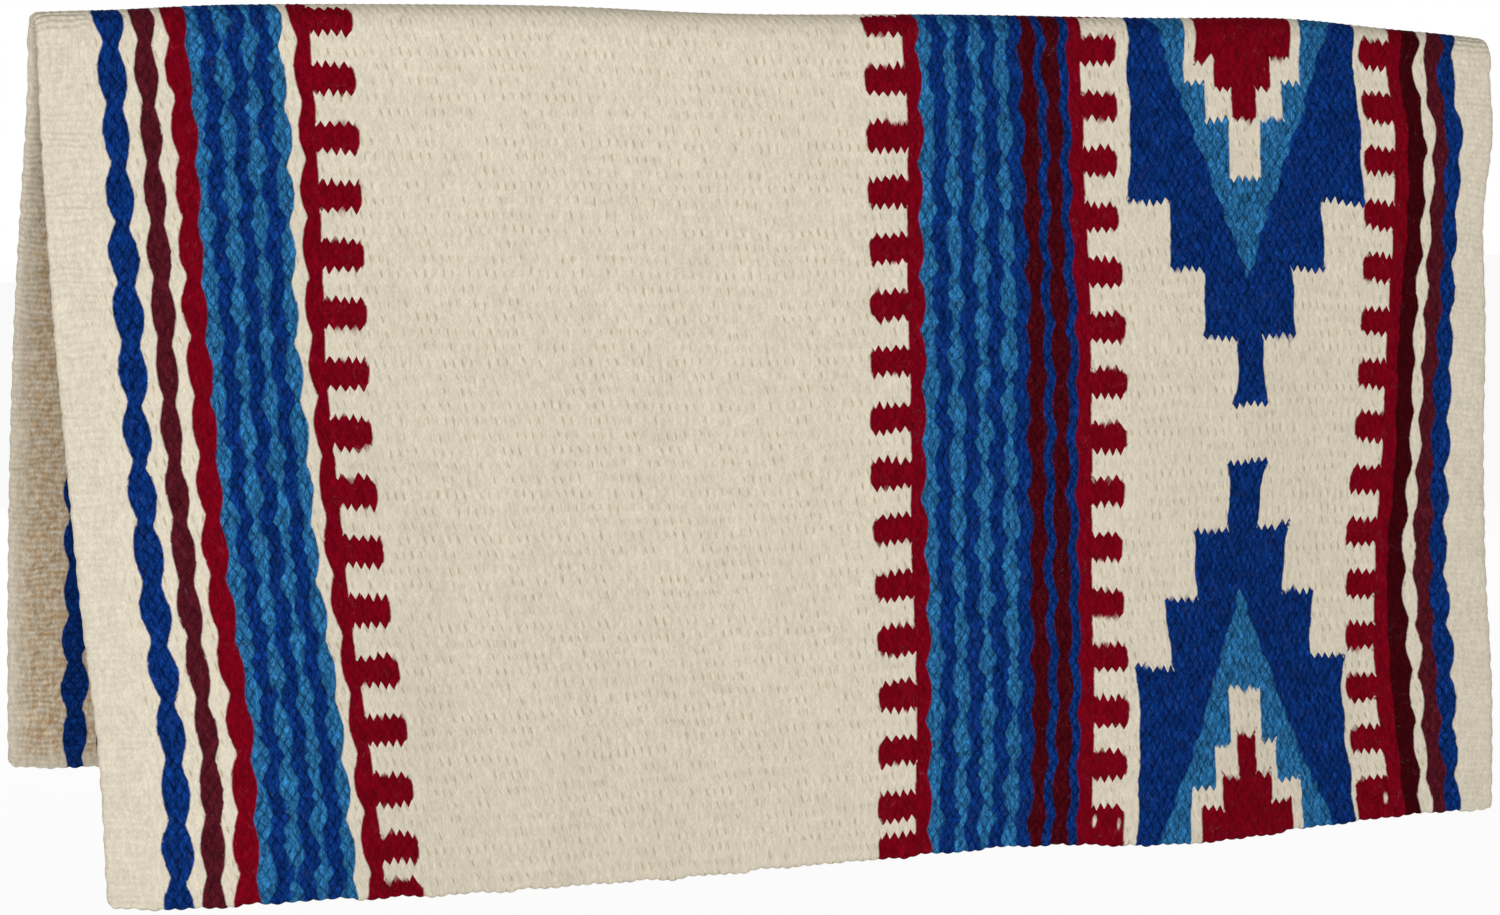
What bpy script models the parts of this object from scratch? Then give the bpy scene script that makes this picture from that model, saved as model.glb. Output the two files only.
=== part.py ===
"""Wool saddle blanket, folded at its middle and hung over a rail.

The cloth is a thick weft-faced weave. Its weft is laid in nine runs side by side
across the width, each in its own yarns, so the blanket is modelled as nine woven
runs. Each run has a bend over the rail, a near flap and an off flap. The bends stay
on the rail. The flaps swing outwards on the two lines where they leave it.

X runs along the rail, the near flap hangs on the -Y side, and +Z is up. The origin
is the point of the rail's top line at mid width, where the cloth's inner face bears.
"""

import math

import bpy
import numpy as np

# The cloth, in metres
BLANKET_WIDTH = 0.864
FLAP_DROP = 0.484
CLOTH_THICKNESS = 0.006

# The rail under the fold, and the straight leg from the bend to the swing line
RAIL_RADIUS = 0.008
FOLD_LEG = 0.010

# The fold's ends, which hang past the rail and sag
LEFT_OVERHANG = 0.085
RIGHT_OVERHANG = 0.165
LEFT_SAG = 0.004
RIGHT_SAG = 0.012

# Clearances between neighbouring runs and between a bend and its flap
WEAVE_GAP = 0.0003
SWING_GAP = 0.0003

# Widths of the woven runs from left to right; the cream field takes the rest
LEFT_SELVAGE_WIDTH = 0.0313
LEFT_BARS_WIDTH = 0.0471
LEFT_WAVE_BAND_WIDTH = 0.0492
MIDDLE_WAVE_BAND_WIDTH = 0.0636
MAROON_BAR_WIDTH = 0.0290
DIAMOND_PANEL_WIDTH = 0.2172
RIGHT_BARS_WIDTH = 0.0362
RIGHT_SELVAGE_WIDTH = 0.0236

# How far each hem stands out from its swing line, as a share of the drop, at shares
# of the width from left to right, and how much of that lean comes low down
NEAR_STAND_SHARES = ((0.0, 0.08), (0.1, 0.147), (0.25, 0.095), (0.4, 0.048),
                     (0.55, 0.03), (0.75, 0.048), (0.9, 0.002), (1.0, 0.002))
OFF_STAND_SHARES = ((0.0, 0.34), (0.25, 0.29), (0.5, 0.24), (0.75, 0.19), (1.0, 0.15))
NEAR_LOW_LEAN_SHARE = -0.6
OFF_LOW_LEAN_SHARE = -0.7
LEAN_START_SHARE = 0.08

# Where along the width the cloth hangs straight down, as a share of the width
PLUMB_SHARE = 0.62

# Mesh steps
FLAP_ROWS = 14
BEND_STEPS = 8
FINE_STEPS = 6
FINE_COLUMNS = 216
SHARP_EDGE_DEGREES = 50

OUTER_RADIUS = RAIL_RADIUS + CLOTH_THICKNESS
BEND_LENGTH = math.pi / 2 * OUTER_RADIUS
SWING_DROP = RAIL_RADIUS + FOLD_LEG
FLAP_LENGTH = FLAP_DROP - BEND_LENGTH - FOLD_LEG - SWING_GAP
FIELD_WIDTH = BLANKET_WIDTH - (
    LEFT_SELVAGE_WIDTH
    + LEFT_BARS_WIDTH
    + LEFT_WAVE_BAND_WIDTH
    + MIDDLE_WAVE_BAND_WIDTH
    + MAROON_BAR_WIDTH
    + DIAMOND_PANEL_WIDTH
    + RIGHT_BARS_WIDTH
    + RIGHT_SELVAGE_WIDTH
)

# Linear colours of the dyed wools
CREAM_WOOL = (0.62, 0.56, 0.44)
RED_WOOL = (0.19, 0.008, 0.02)
BURGUNDY_WOOL = (0.075, 0.012, 0.018)
MAROON_WOOL = (0.09, 0.01, 0.012)
BLUE_WOOL = (0.02, 0.09, 0.3)
WOOL_ROUGHNESS = 0.95

# Each woven run: its name, width, colour, and how many faces span it
WOVEN_RUNS = (
    ("left_selvage", LEFT_SELVAGE_WIDTH, CREAM_WOOL, 1),
    ("left_bars", LEFT_BARS_WIDTH, BURGUNDY_WOOL, 1),
    ("left_wave_band", LEFT_WAVE_BAND_WIDTH, BLUE_WOOL, 2),
    ("cream_field", FIELD_WIDTH, CREAM_WOOL, 9),
    ("middle_wave_band", MIDDLE_WAVE_BAND_WIDTH, BLUE_WOOL, 2),
    ("maroon_bar", MAROON_BAR_WIDTH, MAROON_WOOL, 1),
    ("diamond_panel", DIAMOND_PANEL_WIDTH, RED_WOOL, 5),
    ("right_bars", RIGHT_BARS_WIDTH, BURGUNDY_WOOL, 1),
    ("right_selvage", RIGHT_SELVAGE_WIDTH, CREAM_WOOL, 1),
)


def clear_scene():
    """Removes every object that the file opens with."""
    for thing in list(bpy.data.objects):
        bpy.data.objects.remove(thing, do_unlink=True)


def wool(name, colour):
    """Returns the material called name, made on first use: rough undyed or dyed wool."""
    material = bpy.data.materials.get(name)
    if material is None:
        material = bpy.data.materials.new(name)
        material.use_nodes = True
        shader = material.node_tree.nodes["Principled BSDF"]
        shader.inputs["Base Color"].default_value = (*colour, 1.0)
        shader.inputs["Roughness"].default_value = WOOL_ROUGHNESS
        shader.inputs["Metallic"].default_value = 0.0
    return material


def smooth_through(stations, at):
    """Reads a smooth curve through (place, value) stations at the places in at."""
    places = np.array([place for place, _ in stations])
    values = np.array([value for _, value in stations])
    slopes = np.gradient(values, places)
    index = np.clip(np.searchsorted(places, at, side="right") - 1, 0, len(places) - 2)
    span = places[index + 1] - places[index]
    along = (at - places[index]) / span
    start = (1 + 2 * along) * (1 - along) ** 2 * values[index]
    end = along**2 * (3 - 2 * along) * values[index + 1]
    leave = along * (1 - along) ** 2 * span * slopes[index]
    arrive = along**2 * (along - 1) * span * slopes[index + 1]
    return start + end + leave + arrive


def fold_sag(across):
    """How far the fold sags at the distances across from the left edge."""
    past_left = np.clip((LEFT_OVERHANG - across) / LEFT_OVERHANG, 0, None)
    past_right = np.clip((across - BLANKET_WIDTH + RIGHT_OVERHANG) / RIGHT_OVERHANG, 0, None)
    return LEFT_SAG * past_left**2 + RIGHT_SAG * past_right**2


def hang(side, stand_shares, low_lean_share, columns):
    """Hangs one flap as cloth of fixed length, without stretch along or across.

    side is -1 for the near flap and 1 for the off flap. Returns the points of the
    outer face and the outward normals, by column and row.
    """
    across = np.linspace(0, BLANKET_WIDTH, FINE_COLUMNS + 1)
    down = np.linspace(0, FLAP_LENGTH, FLAP_ROWS * FINE_STEPS + 1)
    share = down / FLAP_LENGTH
    stand = FLAP_DROP * smooth_through(stand_shares, across / BLANKET_WIDTH)
    start = share / (share + LEAN_START_SHARE) * (1 + LEAN_START_SHARE)
    lean = share * (1 - low_lean_share + low_lean_share * share) * start
    out = OUTER_RADIUS + stand[:, None] * lean[None, :]
    fall = np.sqrt(1 - np.gradient(out, down, axis=1) ** 2)
    steps = (fall[:, 1:] + fall[:, :-1]) / 2 * np.diff(down)
    below = np.concatenate([np.zeros((len(across), 1)), np.cumsum(steps, axis=1)], axis=1)
    height = -SWING_DROP - SWING_GAP - fold_sag(across)[:, None] - below
    slope_out = np.gradient(out, across, axis=0)
    slope_up = np.gradient(height, across, axis=0)
    spread = np.sqrt(1 - slope_out**2 - slope_up**2)
    steps = (spread[1:] + spread[:-1]) / 2 * np.diff(across)[:, None]
    along = np.concatenate([np.zeros((1, len(down))), np.cumsum(steps, axis=0)], axis=0)
    plumb = round(PLUMB_SHARE * FINE_COLUMNS)
    along += across[plumb] - along[plumb] - BLANKET_WIDTH / 2
    points = np.stack([along, side * out, height], axis=-1)
    normals = side * np.cross(np.gradient(points, axis=1), np.gradient(points, axis=0))
    normals *= np.sign(normals[:, :1, 1:2] * side)
    normals /= np.linalg.norm(normals, axis=-1, keepdims=True)
    place = np.interp(columns, across, np.arange(len(across)))
    low = np.clip(place.astype(int), 0, len(across) - 2)
    part = (place - low)[:, None, None]
    rows = slice(None, None, FINE_STEPS)
    points = points[low, rows] * (1 - part) + points[low + 1, rows] * part
    normals = normals[low, rows] * (1 - part) + normals[low + 1, rows] * part
    return points, normals


def bend(columns):
    """Bends the cloth over the rail, leg to leg. Returns outer and inner points."""
    turns = np.linspace(math.pi / 2, -math.pi / 2, BEND_STEPS + 1)
    along = columns - BLANKET_WIDTH / 2
    faces = []
    for radius in (OUTER_RADIUS, RAIL_RADIUS):
        out = radius * np.sin(turns)
        up = radius * np.cos(turns) - RAIL_RADIUS
        out = np.concatenate([out[:1], out, out[-1:]])
        up = np.concatenate([[-SWING_DROP], up, [-SWING_DROP]])
        face = np.empty((len(columns), len(out), 3))
        face[:, :, 0] = along[:, None]
        face[:, :, 1] = out
        face[:, :, 2] = up - fold_sag(columns)[:, None]
        faces.append(face)
    return faces


def sheet_solid(name, outer, inner, material, origin, parent):
    """Makes one closed solid between two faces, each a grid of columns by rows."""
    count, rows = outer.shape[:2]
    points = np.concatenate([outer.reshape(-1, 3), inner.reshape(-1, 3)]) - origin
    back = count * rows

    def corner(column, row, base):
        return base + column * rows + row

    faces = []
    for column in range(count - 1):
        for row in range(rows - 1):
            ring = ((column, row), (column, row + 1), (column + 1, row + 1), (column + 1, row))
            faces.append([corner(c, r, 0) for c, r in ring])
            faces.append([corner(c, r, back) for c, r in reversed(ring)])
    left = [(0, row) for row in range(rows)]
    lower = [(column, rows - 1) for column in range(count)]
    right = [(count - 1, row) for row in reversed(range(rows))]
    upper = [(column, 0) for column in reversed(range(count))]
    for edge in (left, lower, right, upper):
        for (c1, r1), (c2, r2) in zip(edge, edge[1:]):
            front = [corner(c2, r2, 0), corner(c1, r1, 0)]
            faces.append([*front, corner(c1, r1, back), corner(c2, r2, back)])
    mesh = bpy.data.meshes.new(name)
    mesh.from_pydata(points.tolist(), [], faces)
    mesh.materials.append(material)
    mesh.shade_smooth()
    mesh.set_sharp_from_angle(angle=math.radians(SHARP_EDGE_DEGREES))
    solid = bpy.data.objects.new(name, mesh)
    solid.parent = parent
    bpy.context.collection.objects.link(solid)
    return solid


def swing_line(name, side):
    """Marks a line that a flap swings on: the outer face, where it leaves the bend."""
    line = bpy.data.objects.new(name, None)
    line.location = (0.0, side * OUTER_RADIUS, -SWING_DROP)
    line.empty_display_type = "SINGLE_ARROW"
    bpy.context.collection.objects.link(line)
    return line


def run_columns():
    """Yields each woven run with the distances of its columns from the left edge."""
    left = 0.0
    for name, width, colour, spans in WOVEN_RUNS:
        right = left + width
        first = left + (WEAVE_GAP / 2 if left > 0 else 0)
        last = right - (WEAVE_GAP / 2 if name != WOVEN_RUNS[-1][0] else 0)
        yield name, colour, np.linspace(first, last, spans + 1)
        left = right


def make_bends():
    """Makes the root body: each run's bend over the rail."""
    rail_line = bpy.data.objects.new("rail_line", None)
    bpy.context.collection.objects.link(rail_line)
    for name, colour, columns in run_columns():
        outer, inner = bend(columns)
        material = wool(f"{name}_wool", colour)
        sheet_solid(f"fold_{name}", outer, inner, material, np.zeros(3), rail_line)


def make_flap(prefix, side, stand_shares, low_lean_share):
    """Makes one flap's runs, carried by an empty on their swing line."""
    line = swing_line(f"{prefix}_swing_line", side)
    origin = np.array(line.location)
    for name, colour, columns in run_columns():
        outer, normals = hang(side, stand_shares, low_lean_share, columns)
        inner = outer - CLOTH_THICKNESS * normals
        if side > 0:
            outer, inner = outer[:, ::-1], inner[:, ::-1]
        material = wool(f"{name}_wool", colour)
        sheet_solid(f"{prefix}_{name}", outer, inner, material, origin, line)


def main():
    """Builds the blanket in its folded, hanging state."""
    clear_scene()
    make_bends()
    make_flap("near", -1, NEAR_STAND_SHARES, NEAR_LOW_LEAN_SHARE)
    make_flap("off", 1, OFF_STAND_SHARES, OFF_LOW_LEAN_SHARE)


main()
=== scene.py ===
"""Dresses a folded wool saddle blanket: the woven cloth, its yarns, and a plain studio.

The cloth is made as two halves that meet along the crest of the fold, one for each
flap. X runs along the fold, the near flap hangs on the -Y side and +Z is up. The
origin is where the cloth's inner face bears on the rail.
Cloth sizes are in metres, and the weave's draft is in millimetres from the left
selvage and from the crest.
"""

import logging
import math
from collections.abc import Sequence
from dataclasses import dataclass, field
from enum import Enum

import bpy
import numpy as np
from mathutils import Matrix, Vector


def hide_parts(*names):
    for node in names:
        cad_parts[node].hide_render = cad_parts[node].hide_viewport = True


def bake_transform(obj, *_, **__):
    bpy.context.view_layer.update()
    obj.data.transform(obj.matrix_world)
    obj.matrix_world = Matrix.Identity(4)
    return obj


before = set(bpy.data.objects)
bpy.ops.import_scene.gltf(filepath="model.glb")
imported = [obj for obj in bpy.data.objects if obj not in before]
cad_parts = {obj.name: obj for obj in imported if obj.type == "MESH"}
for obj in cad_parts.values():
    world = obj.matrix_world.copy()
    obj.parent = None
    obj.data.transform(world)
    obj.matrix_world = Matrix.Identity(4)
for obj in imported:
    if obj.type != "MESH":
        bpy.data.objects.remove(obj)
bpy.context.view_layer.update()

LOG = logging.getLogger("saddle_blanket")
MM = 0.001
Array = np.ndarray
Tree = bpy.types.NodeTree
Socket = bpy.types.NodeSocket
# The setting that makes a range ease in and out, and the colour places of a Mix node
EASED = {"interpolation_type": "SMOOTHSTEP"}
MIX_SHARE, MIX_UNDER, MIX_OVER, MIX_RESULT = 0, 6, 7, 2
# The middle of a noise, and of the numbers that cells have to themselves
NOISE_MIDDLE = 0.5


class Side(Enum):
    """Which half of the folded cloth, with the sign of its Y."""

    NEAR = -1
    OFF = 1


class Yarn(Enum):
    """The wools in the order that they are laid over each other, with sRGB colours."""

    CREAM = "#E0D8C6"
    MAROON = "#470711"
    DARK_MAROON = "#3A040B"
    BURGUNDY = "#501520"
    LIGHT_BLUE = "#28699D"
    ROYAL = "#0A2F72"
    RED = "#750317"

    @property
    def cover(self) -> str:
        """The name of the mesh attribute that holds how far inside this yarn a point is."""
        return f"cover_{self.name.lower()}"


DYED_YARNS = tuple(yarn for yarn in Yarn if yarn is not Yarn.CREAM)
# How deep the painted shade in each yarn's creases is and how high its loops stand in the
# bump, from 0 for the cream: dyed yarn shows its loops most
LOOP_SHADE_AND_RELIEF = {
    Yarn.MAROON: 0.7,
    Yarn.DARK_MAROON: 0.4,
    Yarn.BURGUNDY: 0.6,
    Yarn.LIGHT_BLUE: 1.0,
    Yarn.ROYAL: 1.0,
    Yarn.RED: 0.4,
}


def linear_colour(srgb_hex: str) -> tuple[float, float, float, float]:
    """Turns an sRGB hex colour into linear light.

    Args:
        srgb_hex: The colour as #RRGGBB.

    Returns:
        Red, green and blue in linear light, and an alpha of 1.
    """
    parts = [int(srgb_hex[i : i + 2], 16) / 255 for i in (1, 3, 5)]
    light = [c / 12.92 if c <= 0.04045 else ((c + 0.055) / 1.055) ** 2.4 for c in parts]
    return (*light, 1.0)


def add_node(
    tree: Tree, kind: str, *inputs: object, out: int | str = 0, **settings: object
) -> Socket | None:
    """Adds a shader node with its settings, and fills or links its inputs.

    Args:
        tree: The node tree to add to.
        kind: The node's type name, after the ShaderNode that each of them starts with.
        inputs: Values, or the sockets that feed them, in order, or a dict of them by name
            or place.
        out: The name or place of the output to give back.
        settings: Values for the node's own properties.

    Returns:
        That output, or nothing where the node has none.
    """
    node = tree.nodes.new(f"ShaderNode{kind}")
    for name, value in settings.items():
        setattr(node, name, value)
    by_place = inputs[0] if inputs and isinstance(inputs[0], dict) else dict(enumerate(inputs))
    for place, value in by_place.items():
        if isinstance(value, Socket):
            tree.links.new(value, node.inputs[place])
        else:
            node.inputs[place].default_value = value
    return node.outputs[out] if node.outputs else None


def smooth_through(places: Array, values: Array, at: Array) -> Array:
    """Reads a smooth curve through the given values.

    Args:
        places: Where the values are, in rising order, at least two.
        values: The value at each place, along the first axis.
        at: Where to read the curve.

    Returns:
        The curve's values at those places, along the first axis.
    """
    slopes = np.gradient(values, places, axis=0)
    index = np.clip(np.searchsorted(places, at, side="right") - 1, 0, len(places) - 2)
    span = places[index + 1] - places[index]
    share = (at - places[index]) / span
    if values.ndim > 1:
        span, share = span[:, None], share[:, None]
    start = (1 + 2 * share) * (1 - share) ** 2 * values[index]
    end = share**2 * (3 - 2 * share) * values[index + 1]
    leave = share * (1 - share) ** 2 * span * slopes[index]
    arrive = share**2 * (share - 1) * span * slopes[index + 1]
    return start + end + leave + arrive


def ripples(seed: int, reach: tuple[float, float], across: Array, down: Array) -> Array:
    """Adds up low waves that run every way, the same each time.

    Args:
        seed: Picks the waves.
        reach: The lengths of the shortest and the longest wave.
        across: Distances across.
        down: Distances down, in a shape that goes with the distances across.

    Returns:
        The height of the waves, mostly from -2 to 2.
    """
    waves, least_size, height_divisor = 14, 0.4, 2.5
    height = 0 * (across + down)
    for length, turn, phase, size in np.random.default_rng(seed).uniform(0, 1, (waves, 4)):
        number = 2 * math.pi / (reach[0] + (reach[1] - reach[0]) * length)
        heading = math.pi * (turn - 0.5)
        along = across * math.cos(heading) + down * math.sin(heading)
        height = height + (least_size + size) * np.sin(number * along + 2 * math.pi * phase)
    return height / height_divisor


def running_total(steps: Array, axis: int) -> Array:
    """Adds up steps along an axis.

    Args:
        steps: The steps.
        axis: The axis to go along.

    Returns:
        The totals, from a first one of nought.
    """
    first = np.zeros_like(np.take(steps, [0], axis=axis))
    return np.concatenate([first, np.cumsum(steps, axis=axis)], axis=axis)


@dataclass(frozen=True)
class Drape:
    """How the folded cloth hangs: the same sizes and curves as the solids, in metres.

    The places where the real cloth is a few millimetres off those curves are the
    fields that end in _mm. They bend the visible cloth only.
    """

    width: float = 0.864
    drop: float = 0.484
    thickness: float = 0.006
    rail_radius: float = 0.008
    fold_leg: float = 0.010
    # How far the cloth reaches past each end of the rail, and how far it sags there
    left_overhang: float = 0.085
    right_overhang: float = 0.165
    left_sag: float = 0.004
    right_sag: float = 0.012
    # Which part of the width hangs plumb, as the waves draw the rest in towards it
    plumb_share: float = 0.62
    # How soon a flap leans out below the fold
    lean_start_share: float = 0.08
    # How far each hem stands out, as shares of the drop, at shares of the width
    near_places: tuple = (0.0, 0.1, 0.25, 0.4, 0.55, 0.75, 0.9, 1.0)
    near_stands: tuple = (0.08, 0.147, 0.095, 0.048, 0.03, 0.048, 0.002, 0.002)
    off_places: tuple = (0.0, 0.25, 0.5, 0.75, 1.0)
    off_stands: tuple = (0.34, 0.29, 0.24, 0.19, 0.15)
    # How much more each flap leans low down than high up: less, as it is below nought
    near_low_lean: float = -0.6
    off_low_lean: float = -0.7

    # How far the crest dips at shares of the width
    crest_places: tuple = (0.0, 0.05, 0.12, 0.22, 0.32, 0.45, 0.6, 0.75, 0.85, 0.92, 1.0)
    crest_dips_mm: tuple = (-1.4, 0.0, -2.1, -3.0, -2.9, 0.8, 0.3, 1.4, 0.9, 2.6, 0.7)
    # How much longer each flap is, at shares of the width
    hem_places: tuple = (
        *(0.0, 0.06, 0.12, 0.18, 0.26, 0.36, 0.46),
        *(0.56, 0.66, 0.76, 0.82, 0.88, 0.94, 1.0),
    )
    hem_drops_mm: tuple = (
        *(-7.5, -5.0, -3.0, 0.6, 4.5, 5.5, 4.5),
        *(4.0, 3.0, 7.0, 9.0, 5.0, -2.0, -5.0),
    )
    off_hem_drops_mm: tuple = (-8.7, -5.0, -1.0, 0.0, 0.0)
    # How far the near hem is pulled to the right, at off_places
    hem_pulls_mm: tuple = (7.1, 13.3, 3.0, -2.7, 13.7)
    side_pull_mm: float = 2.3
    off_pull_mm: float = -1.8
    # How far down the off half the crest's own wander fades
    crest_wander: float = 0.060
    # How far the woven runs wander to the right, by distance across and down
    wander_across_mm: tuple = (0, 50, 150, 480, 590, 700, 790, 830, 864)
    wander_down_mm: tuple = (0, 30, 62, 110, 175, 250, 325, 400, 484)
    wander_mm: tuple = (
        (-1.0, -1.4, 0.0, -2.5, -1.0, 1.8, 2.5, 4.4, 3.0),
        (0.0, -0.4, 1.0, -2.2, -3.2, -2.0, -2.5, -3.0, 1.5),
        (0.0, 0.6, 2.3, -0.4, -1.2, -0.6, 3.2, 3.6, 3.5),
        (0.0, 0.4, 1.0, -0.7, -1.2, -0.3, 4.2, 2.9, -2.0),
        (-0.5, 0.1, -2.7, -1.0, 0.8, 2.4, 1.0, -0.6, -0.5),
        (-0.5, -1.2, -3.8, -1.1, 0.6, 1.6, -1.7, -4.1, -1.5),
        (-0.5, -0.2, -3.6, -0.6, 0.0, -4.6, -7.2, -6.4, -1.0),
        (1.0, 2.4, -0.6, 0.4, 1.7, -1.0, -6.2, -2.6, 2.4),
        (-2.0, -2.0, 0.9, 0.0, -1.2, 2.5, 4.2, 3.4, 0.9),
    )

    @property
    def outer_radius(self) -> float:
        """The fold's outer radius."""
        return self.rail_radius + self.thickness

    def dips(self, across: Array) -> Array:
        """Finds how far the crest lies below a straight rail.

        Args:
            across: Distances from the left selvage.

        Returns:
            The dip at each distance.
        """
        left = np.clip((self.left_overhang - across) / self.left_overhang, 0, None)
        right = np.clip((across - self.width + self.right_overhang) / self.right_overhang, 0, None)
        own = smooth_through(
            np.array(self.crest_places), MM * np.array(self.crest_dips_mm), across / self.width
        )
        return self.left_sag * left**2 + self.right_sag * right**2 + own

    def wander(self, side: Side, across: Array, down: Array) -> Array:
        """Finds how far each point of the cloth is pulled to the right.

        Args:
            side: Which half of the cloth.
            across: Distances from the left selvage, one for each column.
            down: Distances from the crest along the cloth, one for each row.

        Returns:
            The pull, by column and row.
        """
        table = smooth_through(
            MM * np.array(self.wander_across_mm), MM * np.array(self.wander_mm).T, across
        )
        if side is Side.OFF:
            fade = np.clip(1 - down / self.crest_wander, 0, None)[None, :] ** 2
            return table[:, :1] * fade + self.off_pull_mm * MM * (1 - fade)
        pull = smooth_through(MM * np.array(self.wander_down_mm), table.T, down).T
        hem = smooth_through(
            np.array(self.off_places), MM * np.array(self.hem_pulls_mm), across / self.width
        )
        share = down / self.drop
        return pull + self.side_pull_mm * MM * share[None, :] + hem[:, None] * share[None, :] ** 2

    def outer_face(self, side: Side, across: Array, down: Array) -> Array:
        """Finds the outer face of one half, hung without stretch along or across.

        Args:
            side: Which half of the cloth.
            across: Distances from the left selvage, one for each column.
            down: Distances from the crest along the cloth, one for each row.

        Returns:
            The points, by column and row.
        """
        near = side is Side.NEAR
        places = np.array(self.near_places if near else self.off_places)
        stands = np.array(self.near_stands if near else self.off_stands)
        low_lean = self.near_low_lean if near else self.off_low_lean
        radius = self.outer_radius
        bend = math.pi / 2 * radius
        start = bend + self.fold_leg
        share = np.clip((down - start) / (self.drop - start), 0, None)
        rise = share / (share + self.lean_start_share) * (1 + self.lean_start_share)
        lean = share * (1 - low_lean + low_lean * share) * rise
        stand = self.drop * smooth_through(places, stands, across / self.width)
        turn = np.clip(down / radius, 0, math.pi / 2)
        flap_out = stand[:, None] * lean[None, :]
        out = radius * np.sin(turn)[None, :] + flap_out
        fall = np.sqrt(1 - np.gradient(flap_out, down, axis=1) ** 2)
        fall = fall * np.where(down < bend, 0, 1)[None, :]
        straight = np.where(down < bend, 0, down - bend)
        fallen = running_total((fall[:, 1:] + fall[:, :-1]) / 2 * np.diff(down), 1)
        fallen = np.where(share[None, :] > 0, fallen, straight[None, :])
        height = radius * np.cos(turn)[None, :] - self.rail_radius - fallen
        height = height - self.dips(across)[:, None]
        hems = np.array(self.hem_places if near else self.off_places)
        drops = MM * np.array(self.hem_drops_mm if near else self.off_hem_drops_mm)
        drops = smooth_through(hems, drops, across / self.width)
        height = height - drops[:, None] * share[None, :]
        slope_out = np.gradient(out, across, axis=0)
        slope_up = np.gradient(height, across, axis=0)
        spread = np.sqrt(1 - slope_out**2 - slope_up**2)
        steps = (spread[1:] + spread[:-1]) / 2 * np.diff(across)[:, None]
        along = running_total(steps, 0)
        plumb = int(np.searchsorted(across, self.plumb_share * self.width))
        along = along + across[plumb] - along[plumb] - self.width / 2
        along = along + self.wander(side, across, down)
        return np.stack([along, side.value * out, height], axis=-1)


@dataclass(frozen=True)
class Border:
    """Where two stripes meet, in millimetres from the left selvage.

    The border moves right by its swing on its rows, and as far back between them. The
    rows lie at row_share of the draft's row pitch.
    """

    place: float
    swing: float
    row_share: float

    def shifted(self, distance: float) -> "Border":
        """The same border, moved to the right."""
        return Border(self.place + distance, self.swing, self.row_share)


@dataclass(frozen=True)
class Stripe:
    """One dyed stripe down the cloth, between two borders."""

    yarn: Yarn
    left: Border
    right: Border


@dataclass(frozen=True)
class ToothColumn:
    """A column of red teeth on a stripe's border, in millimetres from the left selvage.

    From last_from on, its last tooth runs down to the near hem.
    """

    tip: float
    base: float
    row_share: float
    last_from: float


@dataclass(frozen=True)
class Diamond:
    """A stepped diamond on the panel's middle: half widths in mm, and reaches in rows.

    The steps, widest first, are royal with a light blue chevron. They hold a cream core,
    and the core holds a red heart.
    """

    middle_rows: float
    half: tuple
    rows: tuple
    chevron_half: float
    chevron_rows: float
    core_half: tuple
    core_rows: tuple
    heart_half: tuple
    heart_rows: tuple


CREST_DIAMOND = Diamond(
    middle_rows=0.0,
    half=(73.5, 49.0, 29.5, 8.5),
    rows=(3.57, 4.84, 6.08, 7.27),
    chevron_half=61.0,
    chevron_rows=4.97,
    core_half=(37.5, 24.5, 10.2),
    core_rows=(1.42, 2.1, 3.18),
    heart_half=(31.0, 18.0, 8.0),
    heart_rows=(1.02, 1.54, 2.12),
)
HEM_DIAMOND = Diamond(
    middle_rows=15.61,
    half=(73.5, 52.0, 32.0, 11.0),
    rows=(3.57, 4.84, 6.08, 7.27),
    chevron_half=63.3,
    chevron_rows=4.96,
    core_half=(38.5, 22.3, 11.5),
    core_rows=(1.27, 2.08, 3.09),
    heart_half=(31.5, 17.8, 6.8),
    heart_rows=(0.93, 1.5, 2.25),
)
# Where the first row lies in each part of the cloth, as a share of the row pitch
LEFT_STRIPE_ROWS = 0.33
LEFT_WAVE_ROWS = 0.42
LEFT_TOOTH_ROWS = 0.49
MIDDLE_STRIPE_ROWS = 0.30
MIDDLE_TOOTH_ROWS = 0.385
PANEL_LEFT_ROWS = 0.85
PANEL_RIGHT_ROWS = 0.755
RIGHT_STRIPE_ROWS = 1.04
# How much slimmer the light stripes of a wave band are than the royal ones, at each border
SLIMMER = 0.45
# How far a stripe runs on under a neighbour that is laid over it
LAP = 4.0
# The left and the right border of each wave band
LEFT_BAND = (78.4, 127.6)
MIDDLE_BAND = (494.4, 558.0)
# Cream flecks in the last teeth, by distance from the left selvage and from the crest
CREAM_FLECKS = ((598.5, 470.0), (613.5, 471.0), (793.2, 472.5))


def side_by_side(row_share: float, place: float, swing: float, *parts: tuple) -> list[Stripe]:
    """Lays stripes side by side, each sharing its borders with its neighbours.

    A stripe runs on a little under a neighbour that is laid over it.

    Args:
        row_share: Where the tooth rows lie, as a share of their pitch.
        place: The first stripe's left border.
        swing: How far that border swings.
        parts: For each stripe, its yarn, and its right border's place and swing.

    Returns:
        The dyed stripes.
    """
    order = list(Yarn)
    borders = [Border(place, swing, row_share)]
    borders += [Border(right, own_swing, row_share) for _, right, own_swing in parts]
    yarns = [Yarn.CREAM, *(yarn for yarn, _, _ in parts), Yarn.CREAM]
    ranks = [order.index(yarn) for yarn in yarns]
    laid = []
    for i in range(1, len(yarns) - 1):
        left = borders[i - 1].shifted(-LAP if ranks[i - 1] > ranks[i] else 0.0)
        right = borders[i].shifted(LAP if ranks[i + 1] > ranks[i] else 0.0)
        if yarns[i] is not Yarn.CREAM:
            laid.append(Stripe(yarns[i], left, right))
    return laid


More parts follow.
